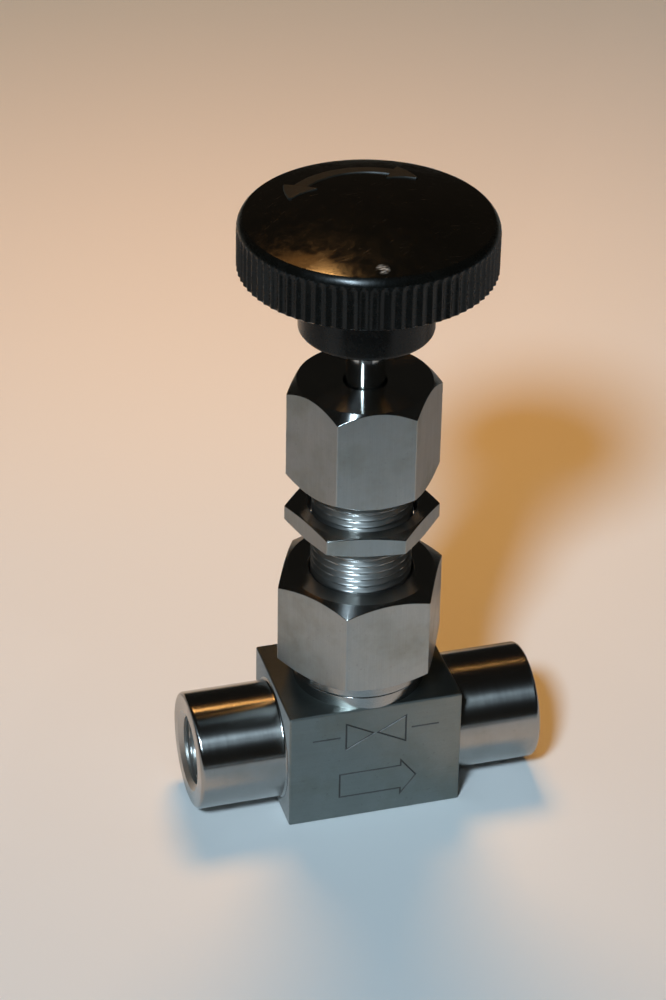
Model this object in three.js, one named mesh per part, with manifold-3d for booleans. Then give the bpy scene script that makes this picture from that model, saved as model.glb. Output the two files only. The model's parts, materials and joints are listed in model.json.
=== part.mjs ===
// Panel-mounting needle valve: square bar body with two female pipe ports, a bonnet held by a
// union nut, a packing nut, and a round hand knob on a rising stem that lifts a non-rotating needle.
// Millimetres, +Z up. Origin: centre of the block's bottom face. +X is the direction of flow.

import * as THREE from 'three';
import { mergeVertices } from 'three/addons/utils/BufferGeometryUtils.js';
import Module from 'manifold-3d';

const wasm = await Module();
wasm.setup();

// ---- Driving dimensions ------------------------------------------------------------------------

const GAP = 0.3; // left between pieces that rest on each other or screw together
const FACETS = { large: 40, medium: 24, small: 16 }; // round a turned surface

const BODY = {
  blockHalfLength: 15, // along the flow
  blockHalfWidth: 11.1, // 7/8 in square bar
  blockHeight: 22,
  blockBevel: 0.4,
  endRadius: 10, // round ends turned from the bar
  endHalfLength: 29.8,
  endChamfer: 0.8,
  portHeight: 10.65, // axis of both ports above the base
  shoulderRadius: 11.05,
  shoulderTop: 24.2,
  neckRadius: 10.6, // external thread for the union nut
  neckTop: 34,
};

const PORT = {
  // 1/4 in taper pipe thread
  mouthRadius: 6.8,
  threadRadius: 6.25,
  endRadius: 5.85,
  depth: 12.5,
  drillConeDepth: 2.4,
};

const FLOW = {
  passageRadius: 2.2,
  inletHeight: 7.5,
  outletHeight: 13.9,
  seatHeight: 12,
  chamberRadius: 4.7,
  chamberTop: 20,
  spigotBoreRadius: 6.5,
};

const BONNET = {
  spigotRadius: 6.2,
  spigotBottom: 20.4,
  flangeRadius: 10.2,
  flangeBottom: 35.3,
  flangeTop: 38.6,
  neckRadius: 8.4, // external thread for the panel nut and the packing nut
  top: 72,
  guideRadius: 4.3,
  backSeatHeight: 57,
  stemHoleRadius: 3.5,
  packingFloor: 60,
  packingRadius: 6,
};

const UNION_NUT = {
  acrossFlats: 25.4, // 1 in
  bottom: 24.6,
  top: 43.5,
  turn: 5.1,
  holeRadius: 8.7,
  lipBottom: 38.9,
  boreRadius: 10.95,
  collarRadius: 11.8, // round foot below the hexagon
  collar: 1.75,
};

const PANEL_NUT = {
  acrossFlats: 22.2, // 7/8 in
  bottom: 52.3,
  top: 55.7,
  turn: -12.7,
  holeRadius: 8.7,
};

const PACKING_NUT = {
  acrossFlats: 22.2, // 7/8 in
  bottom: 61,
  top: 79.1,
  turn: -5.9,
  holeRadius: 3.55,
  boreRadius: 8.75,
  ceiling: 74.2,
};

const PACKING = {
  bottom: 60.3,
  innerRadius: 3.48,
  outerRadius: 5.7,
  washerHeight: 1,
  ringHeight: 1.8,
  ringNames: ['packing_ring_lower', 'packing_ring_middle', 'packing_ring_upper'],
  vDepth: 0.6,
};

const STEM = {
  radius: 3.175, // 1/4 in
  top: 98.9,
  threadRadius: 3.97, // 5/16 in, 20 threads per inch
  threadBottom: 43.4,
  threadTop: 54,
  neckRadius: 1.6,
  buttonRadius: 2.45,
  buttonBottom: 39.8,
  buttonTop: 40.7,
  neckTop: 42.1,
};

const LOWER_STEM = {
  radius: 4,
  bottom: 21.3,
  top: 42.6,
  cupRadius: 2.8,
  cupFloor: 36.4,
  grooveRadius: 3.5,
  grooveBottom: 40.8,
  grooveTop: 41.8,
  socketRadius: 2,
  socketTop: 25,
  slotWidth: 2.2,
  slotFloor: 2.85, // distance of each slot's flat floor from the axis
};

const TRAVEL = { down: 3.81, up: 2.54 }; // three turns to the seat, two turns to fully open

const NEEDLE_TIP = {
  pointRadius: 0.6,
  pointHeight: 13.2,
  seatContactRadius: 2.2,
  seatContactHeight: 15.95, // at rest; comes down to the seat when the valve is closed
  radius: 3.6,
  top: 21,
  spigotRadius: 1.7,
  spigotTop: 24.7,
};

const BALL = { radius: 1.4, height: 38.1 };

const CLIP = { bottom: 41.05, top: 41.55, innerRadius: 1.95, outerRadius: 3.2, mouthWidth: 1.6 };

const PIN = { radius: 0.8, height: 30, innerEnd: 3.2, outerEnd: 5.9, clearance: 0.1 };

const KNOB = {
  hubBottom: 88.4,
  hubRadius: 10.9,
  hubTopRadius: 11.1,
  hubEdge: 0.8,
  rimBottom: 100,
  rimRadius: 20.7, // 1 5/8 in across
  rimLipRadius: 18.2,
  recessTop: 102.4,
  edgeStart: 106.4, // where the rim's side begins to curve in
  edgeArcRadius: 2.5,
  edgeArcAngle: 42, // the domed top begins at the end of this arc
  domeRise: 2.9,
};

const INSERT = { radius: 5.6, bottom: 88.8, top: 101, boreRadius: 3.48, boreTop: 99.2 };

const SET_SCREW = { radius: 2, height: 93.6, innerEnd: 3.5, outerEnd: 9.6, turn: 62, flatDepth: 0.4 };

// ---- Materials ---------------------------------------------------------------------------------

const steel = (color, roughness) => new THREE.MeshStandardMaterial({ color, roughness, metalness: 1 });
const plastic = (color, roughness) => new THREE.MeshStandardMaterial({ color, roughness, metalness: 0 });

const FINISH = {
  bar: steel(0x9aa09c, 0.34),
  nut: steel(0xb0aca6, 0.3),
  turned: steel(0xb8b8b6, 0.22),
  polished: steel(0xc8c8c8, 0.12),
  brass: steel(0xb08a45, 0.35),
  packing: plastic(0xeeece6, 0.5),
  gasket: steel(0xa8a8a6, 0.5),
  phenolic: plastic(0x16140f, 0.22),
  blackOxide: steel(0x25252a, 0.45),
};

// ---- Solid helpers -----------------------------------------------------------------------------

const radians = THREE.MathUtils.degToRad;

// A closed three.js geometry as a solid that can be joined and cut.
function solidFrom(geometry) {
  geometry.deleteAttribute('normal');
  geometry.deleteAttribute('uv');
  const merged = mergeVertices(geometry, 1e-4);
  return new wasm.Manifold(new wasm.Mesh({
    numProp: 3,
    vertProperties: merged.attributes.position.array,
    triVerts: new Uint32Array(merged.index.array),
  }));
}

function geometryFrom(solid) {
  const { vertProperties, triVerts } = solid.getMesh();
  const geometry = new THREE.BufferGeometry();
  geometry.setAttribute('position', new THREE.BufferAttribute(vertProperties, 3));
  geometry.setIndex(new THREE.BufferAttribute(triVerts, 1));
  return geometry;
}

// Profile of [radius, height] points, anticlockwise, turned round the Z axis.
function turned(profile, facets) {
  const outline = profile.map(([radius, height]) => new THREE.Vector2(radius, height));
  const closed = profile[0][0] === 0 ? outline : [...outline, outline[0].clone()];
  return solidFrom(new THREE.LatheGeometry(closed, facets).rotateX(Math.PI / 2));
}

function rod(radius, bottom, top, facets) {
  return turned([[0, bottom], [radius, bottom], [radius, top], [0, top]], facets);
}

function ring(innerRadius, outerRadius, bottom, top, facets) {
  return turned([
    [innerRadius, bottom],
    [outerRadius, bottom],
    [outerRadius, top],
    [innerRadius, top],
  ], facets);
}

// A profile turned round an axis that points along +X at the given height; its heights become X.
function turnedAlongX(profile, height, facets) {
  const outline = profile.map(([radius, along]) => new THREE.Vector2(radius, along));
  return solidFrom(new THREE.LatheGeometry(outline, facets).rotateZ(-Math.PI / 2).translate(0, 0, height));
}

function box(size, centre) {
  return solidFrom(new THREE.BoxGeometry(...size).translate(...centre));
}

// A rod that points away from the Z axis, in the direction of the given turn about Z.
function radialRod(radius, innerEnd, outerEnd, height, turn, facets) {
  const length = outerEnd - innerEnd;
  const geometry = new THREE.CylinderGeometry(radius, radius, length, facets)
    .rotateZ(-Math.PI / 2)
    .translate(innerEnd + length / 2, 0, 0)
    .rotateZ(radians(turn))
    .translate(0, 0, height);
  return solidFrom(geometry);
}

function hexBar(acrossFlats, bottom, top, turn) {
  const cornerRadius = acrossFlats / Math.sqrt(3);
  const corners = Array.from({ length: 6 }, (_, corner) => {
    const angle = radians(turn + 60 * corner);
    return new THREE.Vector2(cornerRadius * Math.cos(angle), cornerRadius * Math.sin(angle));
  });
  const geometry = new THREE.ExtrudeGeometry(new THREE.Shape(corners), {
    depth: top - bottom,
    bevelEnabled: false,
  });
  return solidFrom(geometry.translate(0, 0, bottom));
}

// The turned shape that chamfers a hexagon's corners: flat faces of the given radii, then cones.
// A collar is a straight round foot below the lower cone.
function chamferedBlank(bottom, top, bottomRadius, topRadius, bottomSlope, topSlope, collar = 0) {
  const reach = 16;
  const bottomRise = (reach - bottomRadius) * Math.tan(radians(bottomSlope));
  const topDrop = (reach - topRadius) * Math.tan(radians(topSlope));
  return turned([
    [0, bottom],
    [bottomRadius, bottom],
    ...(collar > 0 ? [[bottomRadius, bottom + collar]] : []),
    [reach, bottom + collar + bottomRise],
    [reach, top - topDrop],
    [topRadius, top],
    [0, top],
  ], FACETS.large);
}

// ---- Valve body --------------------------------------------------------------------------------

function block() {
  const { blockHalfLength, blockHalfWidth, blockHeight, blockBevel } = BODY;
  const section = new THREE.Shape([
    new THREE.Vector2(-blockHalfWidth + blockBevel, 0),
    new THREE.Vector2(blockHalfWidth - blockBevel, 0),
    new THREE.Vector2(blockHalfWidth, blockBevel),
    new THREE.Vector2(blockHalfWidth, blockHeight - blockBevel),
    new THREE.Vector2(blockHalfWidth - blockBevel, blockHeight),
    new THREE.Vector2(-blockHalfWidth + blockBevel, blockHeight),
    new THREE.Vector2(-blockHalfWidth, blockHeight - blockBevel),
    new THREE.Vector2(-blockHalfWidth, blockBevel),
  ]);
  const bar = new THREE.ExtrudeGeometry(section, { depth: 2 * blockHalfLength, bevelEnabled: false });
  bar.translate(0, 0, -blockHalfLength).rotateY(Math.PI / 2).rotateX(Math.PI / 2);
  return solidFrom(bar);
}

function roundEnds() {
  const { endRadius, endHalfLength, endChamfer, portHeight } = BODY;
  return turnedAlongX([
    [0, -endHalfLength],
    [endRadius - endChamfer, -endHalfLength],
    [endRadius, -endHalfLength + endChamfer],
    [endRadius, endHalfLength - endChamfer],
    [endRadius - endChamfer, endHalfLength],
    [0, endHalfLength],
  ], portHeight, FACETS.large);
}

function portBore(side) {
  const mouth = BODY.endHalfLength;
  const chamferDepth = PORT.mouthRadius - PORT.threadRadius;
  const outside = 1;
  const profile = [
    [0, mouth - PORT.depth - PORT.drillConeDepth],
    [PORT.endRadius, mouth - PORT.depth],
    [PORT.threadRadius, mouth - chamferDepth],
    [PORT.mouthRadius + outside, mouth + outside],
    [0, mouth + outside],
  ];
  const bore = turnedAlongX(profile, BODY.portHeight, FACETS.medium);
  return side > 0 ? bore : bore.rotate([0, 0, 180]);
}

function passage(start, end, height) {
  const { passageRadius } = FLOW;
  return turnedAlongX([
    [0, start],
    [passageRadius, start],
    [passageRadius, end],
    [0, end],
  ], height, FACETS.small);
}

function valveBody() {
  const { inletHeight, outletHeight, seatHeight, chamberRadius, chamberTop } = FLOW;
  const portEnd = BODY.endHalfLength - PORT.depth;
  const neck = turned([
    [0, BODY.blockHeight - 2],
    [BODY.shoulderRadius, BODY.blockHeight - 2],
    [BODY.shoulderRadius, BODY.shoulderTop],
    [BODY.neckRadius, BODY.shoulderTop],
    [BODY.neckRadius, BODY.neckTop - 0.6],
    [BODY.neckRadius - 0.6, BODY.neckTop],
    [0, BODY.neckTop],
  ], FACETS.large);
  const centreBore = turned([
    [0, inletHeight],
    [FLOW.passageRadius, inletHeight],
    [FLOW.passageRadius, seatHeight],
    [chamberRadius, seatHeight],
    [chamberRadius, chamberTop],
    [FLOW.spigotBoreRadius, chamberTop],
    [FLOW.spigotBoreRadius, BODY.neckTop + 1],
    [0, BODY.neckTop + 1],
  ], FACETS.medium);
  return block()
    .add(roundEnds())
    .add(neck)
    .subtract(centreBore)
    .subtract(portBore(-1))
    .subtract(portBore(1))
    .subtract(passage(-portEnd - 1, FLOW.passageRadius * 0.8, inletHeight))
    .subtract(passage(0, portEnd + 1, outletHeight));
}

// ---- Bonnet and nuts ---------------------------------------------------------------------------

function guidePin(turn) {
  return radialRod(PIN.radius, PIN.innerEnd, PIN.outerEnd, PIN.height, turn, FACETS.small);
}

function guidePinHole(turn) {
  const outside = 1;
  return radialRod(
    PIN.radius + PIN.clearance,
    PIN.innerEnd,
    BONNET.spigotRadius + outside,
    PIN.height,
    turn,
    FACETS.small,
  );
}

function bonnet() {
  const spigotChamfer = 0.5;
  const threadChamfer = 0.7;
  return turned([
    [BONNET.guideRadius, BONNET.spigotBottom],
    [BONNET.spigotRadius - spigotChamfer, BONNET.spigotBottom],
    [BONNET.spigotRadius, BONNET.spigotBottom + spigotChamfer],
    [BONNET.spigotRadius, BONNET.flangeBottom],
    [BONNET.flangeRadius, BONNET.flangeBottom],
    [BONNET.flangeRadius, BONNET.flangeTop],
    [BONNET.neckRadius, BONNET.flangeTop],
    [BONNET.neckRadius, BONNET.top - threadChamfer],
    [BONNET.neckRadius - threadChamfer, BONNET.top],
    [BONNET.packingRadius, BONNET.top],
    [BONNET.packingRadius, BONNET.packingFloor],
    [BONNET.stemHoleRadius, BONNET.packingFloor],
    [BONNET.stemHoleRadius, BONNET.backSeatHeight],
    [BONNET.guideRadius, BONNET.backSeatHeight],
  ], FACETS.large)
    .subtract(guidePinHole(0))
    .subtract(guidePinHole(180));
}

function bonnetGasket() {
  const bottom = BODY.neckTop + GAP;
  return ring(BONNET.spigotRadius + GAP, 9.4, bottom, BONNET.flangeBottom - GAP, FACETS.medium);
}

function unionNut() {
  const { acrossFlats, bottom, top, turn, holeRadius, lipBottom, boreRadius } = UNION_NUT;
  const flat = acrossFlats / 2;
  const outside = 1;
  const bore = turned([
    [0, bottom - outside],
    [boreRadius, bottom - outside],
    [boreRadius, lipBottom],
    [holeRadius, lipBottom],
    [holeRadius, top + outside],
    [0, top + outside],
  ], FACETS.large);
  return hexBar(acrossFlats, bottom - outside, top + outside, turn)
    .intersect(chamferedBlank(bottom, top, UNION_NUT.collarRadius, flat - 0.6, 30, 30, UNION_NUT.collar))
    .subtract(bore);
}

function panelNut() {
  const { acrossFlats, bottom, top, turn, holeRadius } = PANEL_NUT;
  const flat = acrossFlats / 2;
  const outside = 1;
  return hexBar(acrossFlats, bottom - outside, top + outside, turn)
    .intersect(chamferedBlank(bottom, top, flat, flat - 0.2, 13, 13))
    .subtract(rod(holeRadius, bottom - outside, top + outside, FACETS.large));
}

function packingNut() {
  const { acrossFlats, bottom, top, turn, holeRadius, boreRadius, ceiling } = PACKING_NUT;
  const flat = acrossFlats / 2;
  const outside = 1;
  const bore = turned([
    [0, bottom - outside],
    [boreRadius, bottom - outside],
    [boreRadius, ceiling],
    [holeRadius, ceiling],
    [holeRadius, top + outside],
    [0, top + outside],
  ], FACETS.large);
  return hexBar(acrossFlats, bottom - outside, top + outside, turn)
    .intersect(chamferedBlank(bottom, top, flat - 0.3, flat - 0.1, 35, 45))
    .subtract(bore);
}

// ---- Packing -----------------------------------------------------------------------------------

function packingWasher() {
  const { innerRadius, outerRadius, bottom, washerHeight } = PACKING;
  return ring(innerRadius, outerRadius, bottom, bottom + washerHeight, FACETS.small);
}

function ringBottom(index) {
  return PACKING.bottom + PACKING.washerHeight + GAP + index * (PACKING.ringHeight + GAP);
}

// A V-section ring: the ridge on its top nests in the hollow of the ring above.
function packingRing(index) {
  const { innerRadius, outerRadius, ringHeight, vDepth } = PACKING;
  const bottom = ringBottom(index);
  const middle = (innerRadius + outerRadius) / 2;
  return turned([
    [innerRadius, bottom],
    [middle, bottom + vDepth],
    [outerRadius, bottom],
    [outerRadius, bottom + ringHeight - vDepth],
    [middle, bottom + ringHeight],
    [innerRadius, bottom + ringHeight - vDepth],
  ], FACETS.small);
}

function packingGland() {
  const { innerRadius, outerRadius, ringNames } = PACKING;
  const bottom = ringBottom(ringNames.length);
  const flangeRadius = 8;
  return turned([
    [innerRadius, bottom],
    [outerRadius, bottom],
    [outerRadius, BONNET.top + GAP],
    [flangeRadius, BONNET.top + GAP],
    [flangeRadius, PACKING_NUT.ceiling - GAP],
    [innerRadius, PACKING_NUT.ceiling - GAP],
  ], FACETS.small);
}

// ---- Needle, which rises without turning -------------------------------------------------------

function guideSlot(side) {
  const { slotWidth, slotFloor, radius } = LOWER_STEM;
  const bottom = PIN.height - PIN.radius - TRAVEL.up - GAP;
  const top = PIN.height + PIN.radius + TRAVEL.down + GAP;
  const depth = radius - slotFloor + 1;
  return box([depth, slotWidth, top - bottom], [side * (slotFloor + depth / 2), 0, (top + bottom) / 2]);
}

function lowerStem() {
  const { radius, bottom, top, cupRadius, cupFloor, grooveRadius, socketRadius, socketTop } = LOWER_STEM;
  return turned([
    [0, socketTop],
    [socketRadius, socketTop],
    [socketRadius, bottom],
    [radius - 0.3, bottom],
    [radius, bottom + 0.3],
    [radius, top],
    [cupRadius, top],
    [cupRadius, LOWER_STEM.grooveTop],
    [grooveRadius, LOWER_STEM.grooveTop],
    [grooveRadius, LOWER_STEM.grooveBottom],
    [cupRadius, LOWER_STEM.grooveBottom],
    [cupRadius, cupFloor],
    [0, cupFloor],
  ], FACETS.medium)
    .subtract(guideSlot(-1))
    .subtract(guideSlot(1));
}

function needleTip() {
  const { pointRadius, pointHeight, seatContactRadius, seatContactHeight, radius, top } = NEEDLE_TIP;
  const risePerRadius = (seatContactHeight - pointHeight) / (seatContactRadius - pointRadius);
  return turned([
    [0, pointHeight],
    [pointRadius, pointHeight],
    [radius, pointHeight + (radius - pointRadius) * risePerRadius],
    [radius, top],
    [NEEDLE_TIP.spigotRadius, top],
    [NEEDLE_TIP.spigotRadius, NEEDLE_TIP.spigotTop],
    [0, NEEDLE_TIP.spigotTop],
  ], FACETS.medium);
}

function thrustBall() {
  const ball = new THREE.SphereGeometry(BALL.radius, FACETS.small, FACETS.small / 2);
  return solidFrom(ball.translate(0, 0, BALL.height));
}

function stemClip() {
  const { bottom, top, innerRadius, outerRadius, mouthWidth } = CLIP;
  const mouth = box([outerRadius, mouthWidth, 2], [0, -outerRadius + 0.6, (bottom + top) / 2]);
  return ring(innerRadius, outerRadius, bottom, top, FACETS.small)
    .subtract(mouth.rotate([0, 0, 90]));
}

// ---- Stem and knob -----------------------------------------------------------------------------

function stem() {
  const threadChamfer = STEM.threadRadius - STEM.radius;
  const round = turned([
    [0, STEM.buttonBottom],
    [STEM.buttonRadius, STEM.buttonBottom],
    [STEM.buttonRadius, STEM.buttonTop],
    [STEM.neckRadius, STEM.buttonTop],
    [STEM.neckRadius, STEM.neckTop],
    [STEM.buttonRadius, STEM.neckTop],
    [STEM.buttonRadius, STEM.threadBottom],
    [STEM.threadRadius, STEM.threadBottom + 0.8],
    [STEM.threadRadius, STEM.threadTop - threadChamfer],
    [STEM.radius, STEM.threadTop],
    [STEM.radius, STEM.top - 0.4],
    [STEM.radius - 0.4, STEM.top],
    [0, STEM.top],
  ], FACETS.medium);
  const depth = 2;
  const flat = box([depth, 8, 7], [STEM.radius - SET_SCREW.flatDepth + depth / 2, 0, SET_SCREW.height]);
  return round.subtract(flat.rotate([0, 0, SET_SCREW.turn]));
}

// The knob's outline where its side curves in towards the dome, from the side upwards.
function knobEdge(steps) {
  const { rimRadius, edgeStart, edgeArcRadius, edgeArcAngle } = KNOB;
  return Array.from({ length: steps + 1 }, (_, step) => {
    const angle = radians(edgeArcAngle) * (step / steps);
    return [
      rimRadius - edgeArcRadius * (1 - Math.cos(angle)),
      edgeStart + edgeArcRadius * Math.sin(angle),
    ];
  });
}

// The domed top, from its edge to the axis: part of a sphere.
function knobDome([edgeRadius, edgeHeight], steps) {
  const { domeRise } = KNOB;
  const sphereRadius = (edgeRadius ** 2 + domeRise ** 2) / (2 * domeRise);
  const sphereCentre = edgeHeight + domeRise - sphereRadius;
  return Array.from({ length: steps }, (_, step) => {
    const radius = edgeRadius * (1 - (step + 1) / steps);
    return [radius, sphereCentre + Math.sqrt(sphereRadius ** 2 - radius ** 2)];
  });
}

function knob() {
  const { rimRadius, hubRadius, hubTopRadius, hubEdge, hubBottom } = KNOB;
  const rimEdge = 0.5;
  const edge = knobEdge(4);
  const blank = turned([
    [0, hubBottom],
    [hubRadius - hubEdge, hubBottom],
    [hubRadius, hubBottom + hubEdge],
    [hubTopRadius, KNOB.recessTop],
    [KNOB.rimLipRadius, KNOB.recessTop],
    [KNOB.rimLipRadius, KNOB.rimBottom],
    [rimRadius - rimEdge, KNOB.rimBottom],
    [rimRadius, KNOB.rimBottom + rimEdge],
    ...edge,
    ...knobDome(edge.at(-1), 6),
  ], FACETS.large);
  const socket = rod(INSERT.radius + GAP, hubBottom - 1, INSERT.top + GAP, FACETS.medium);
  return blank.subtract(socket).subtract(setScrewHole());
}

function knobInsert() {
  const { radius, bottom, top, boreRadius, boreTop } = INSERT;
  return turned([
    [boreRadius, bottom],
    [radius, bottom],
    [radius, top],
    [0, top],
    [0, boreTop],
    [boreRadius, boreTop],
  ], FACETS.medium)
    .subtract(setScrewHole());
}

function setScrewHole() {
  const { radius, height, turn } = SET_SCREW;
  return radialRod(radius + GAP, 2, KNOB.hubTopRadius + 1, height, turn, FACETS.small);
}

function setScrew() {
  const { radius, innerEnd, outerEnd, height, turn } = SET_SCREW;
  const screw = radialRod(radius, innerEnd, outerEnd, height, turn, FACETS.small);
  const socketDepth = 2.2;
  const hexSocket = radialRod(1.1, outerEnd - socketDepth, outerEnd + 1, height, turn, 6);
  return screw.subtract(hexSocket);
}

// ---- Assembly ----------------------------------------------------------------------------------

const valve = new THREE.Group();

function place(name, solid, material) {
  const mesh = new THREE.Mesh(geometryFrom(solid), material);
  mesh.name = name;
  valve.add(mesh);
}

place('valve_body', valveBody(), FINISH.bar);
place('bonnet', bonnet(), FINISH.turned);
place('bonnet_gasket', bonnetGasket(), FINISH.gasket);
place('union_nut', unionNut(), FINISH.nut);
place('panel_nut', panelNut(), FINISH.nut);
place('packing_nut', packingNut(), FINISH.nut);
place('packing_gland', packingGland(), FINISH.turned);
place('packing_washer', packingWasher(), FINISH.turned);
PACKING.ringNames.forEach((name, index) => place(name, packingRing(index), FINISH.packing));
place('guide_pin_outlet_side', guidePin(0), FINISH.polished);
place('guide_pin_inlet_side', guidePin(180), FINISH.polished);
place('lower_stem', lowerStem(), FINISH.polished);
place('needle_tip', needleTip(), FINISH.polished);
place('thrust_ball', thrustBall(), FINISH.polished);
place('stem_clip', stemClip(), FINISH.turned);
place('stem', stem(), FINISH.polished);
place('knob', knob(), FINISH.phenolic);
place('knob_insert', knobInsert(), FINISH.brass);
place('set_screw', setScrew(), FINISH.blackOxide);

export default valve;
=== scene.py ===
"""Looks of a panel-mounting needle valve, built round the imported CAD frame.

Shapes are worked out in millimetres and turned into metres when a mesh is made.
The valve stands on its square block: +X is the direction of flow and +Z is up.
"""

import json
import math

import bmesh
import bpy
import numpy as np
from mathutils import Matrix, Vector


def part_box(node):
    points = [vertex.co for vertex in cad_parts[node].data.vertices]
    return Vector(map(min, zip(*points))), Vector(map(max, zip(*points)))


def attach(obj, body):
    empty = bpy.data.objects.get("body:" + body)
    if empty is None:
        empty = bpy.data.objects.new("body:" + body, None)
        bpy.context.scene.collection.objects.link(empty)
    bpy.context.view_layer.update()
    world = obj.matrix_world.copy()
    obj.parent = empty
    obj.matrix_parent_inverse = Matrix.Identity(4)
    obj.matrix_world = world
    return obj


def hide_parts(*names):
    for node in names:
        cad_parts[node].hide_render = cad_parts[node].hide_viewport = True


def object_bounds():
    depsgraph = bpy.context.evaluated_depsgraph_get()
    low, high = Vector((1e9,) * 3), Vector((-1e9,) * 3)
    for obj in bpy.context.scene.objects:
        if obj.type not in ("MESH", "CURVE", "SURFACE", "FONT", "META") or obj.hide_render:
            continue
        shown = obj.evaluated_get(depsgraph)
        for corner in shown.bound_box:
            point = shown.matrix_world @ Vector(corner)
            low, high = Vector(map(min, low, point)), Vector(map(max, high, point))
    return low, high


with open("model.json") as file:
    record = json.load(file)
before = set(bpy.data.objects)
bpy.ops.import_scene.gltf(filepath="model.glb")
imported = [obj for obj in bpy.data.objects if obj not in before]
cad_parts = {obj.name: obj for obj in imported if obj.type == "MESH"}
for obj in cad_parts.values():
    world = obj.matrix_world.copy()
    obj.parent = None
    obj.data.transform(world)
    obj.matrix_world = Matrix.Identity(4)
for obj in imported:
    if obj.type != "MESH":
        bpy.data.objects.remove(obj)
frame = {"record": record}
cad_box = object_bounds()

MM = 0.001
TURN = 2 * math.pi
BODY_OF = {
    node: body
    for body, nodes in frame["record"]["behaviour"]["bodies"].items()
    for node in nodes
}


def box_mm(node):
    """Lowest and highest corner of a CAD node, in millimetres."""
    low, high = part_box(node)
    return np.array(low) / MM, np.array(high) / MM


def bottom_of(node):
    return box_mm(node)[0][2]


def top_of(node):
    return box_mm(node)[1][2]


# ---- Dimensions, in millimetres ----

BLOCK = {"half_length": 15.0, "height": 22.0, "bevel": 0.35}
PORT_HEIGHT = 10.65
END_RADIUS = 10.0
PORT = {"mouth": 6.8, "thread": 6.3, "end": 5.9, "depth": 12.5, "pitch": 1.411, "cut": 0.8}
FLOW = {"bore": 2.2, "inlet": 7.5, "outlet": 13.9, "seat": 12.0, "chamber": 4.7}
CHAMBER_TOP = 20.0
SPIGOT_BORE = 6.5
SHOULDER = {"radius": 11.05, "top": 24.2}
BODY_NECK = {"radius": 10.6, "root": 9.95}
FINE_PITCH = 1.27  # 20 threads per inch

BONNET_NECK = {"crest": 8.4, "root": 7.72, "top": 72.0}
FLANGE = {"radius": 10.2, "bottom": 35.3, "top": 38.6}
PACKING_BOX = {"floor": 60.0, "radius": 6.0}
STEM_HOLE = 3.5
BACK_SEAT = 57.0
GUIDE_BORE = 4.3
SPIGOT_RADIUS = 6.2
PIN_HEIGHT = 30.0

# Each end of a nut is a flat face of the given radius, then a cone of the given slope in degrees.
NUTS = {
    "union_nut": {"flats": 25.4, "turn": 5.1, "fillet": 0.35, "bottom": (11.8, 30), "top": (12.1, 30)},
    "panel_nut": {"flats": 22.2, "turn": -12.7, "fillet": 0.3, "bottom": (11.05, 13), "top": (10.9, 13)},
    "packing_nut": {"flats": 22.2, "turn": -5.9, "fillet": 0.35, "bottom": (10.8, 35), "top": (11.0, 45)},
}

PACKING_INNER = 3.3
PACKING_OUTER = box_mm("packing_washer")[1][0]

KNOB_RADIUS = box_mm("knob")[1][0]
HUB = {"bottom": bottom_of("knob"), "radius": 10.95, "top_radius": 11.1}
# The side of the rim ends in an arc that starts at edge and turns through sweep degrees.
RIM = {"bottom": 99.4, "lip": 18.2, "recess": 102.4, "edge": 106.25, "arc": 2.6, "sweep": 52.0}
FLUTES = {"count": 78, "depth": 0.3, "fade": 106.2, "end": 107.0}
SET_SCREW = {"height": 93.6, "turn": 62.0, "radius": 2.0}
SCUFF = (-3.0, -17.6, 108.7)  # a pale mark on the dome

# ---- Outlines ----


def circle(count):
    """Evenly spaced angles round a turned piece."""
    return np.arange(count) * TURN / count


def hexagon(across_flats, fillet, turn):
    """Angles round a hexagon with rounded corners, and its radius at each angle."""
    sixth = math.radians(60)
    corner_points, flat_steps = 5, 20
    apothem = across_flats / 2
    arc_centre = (apothem - fillet) / math.cos(sixth / 2)
    arc_half = math.atan2(fillet / 2, arc_centre + fillet * math.cos(sixth / 2))
    arc = np.linspace(-arc_half, arc_half, corner_points)
    flat = np.linspace(arc_half, sixth - arc_half, flat_steps + 1)[1:-1]
    offsets = np.concatenate([arc, flat])
    arc_radius = arc_centre * np.cos(arc) + np.sqrt(fillet**2 - (arc_centre * np.sin(arc)) ** 2)
    radii = np.concatenate([arc_radius, apothem / np.cos(sixth / 2 - flat)])
    corners = math.radians(turn) + sixth * np.arange(6)
    return (corners[:, None] + offsets[None, :]).ravel(), np.tile(radii, 6)


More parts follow.
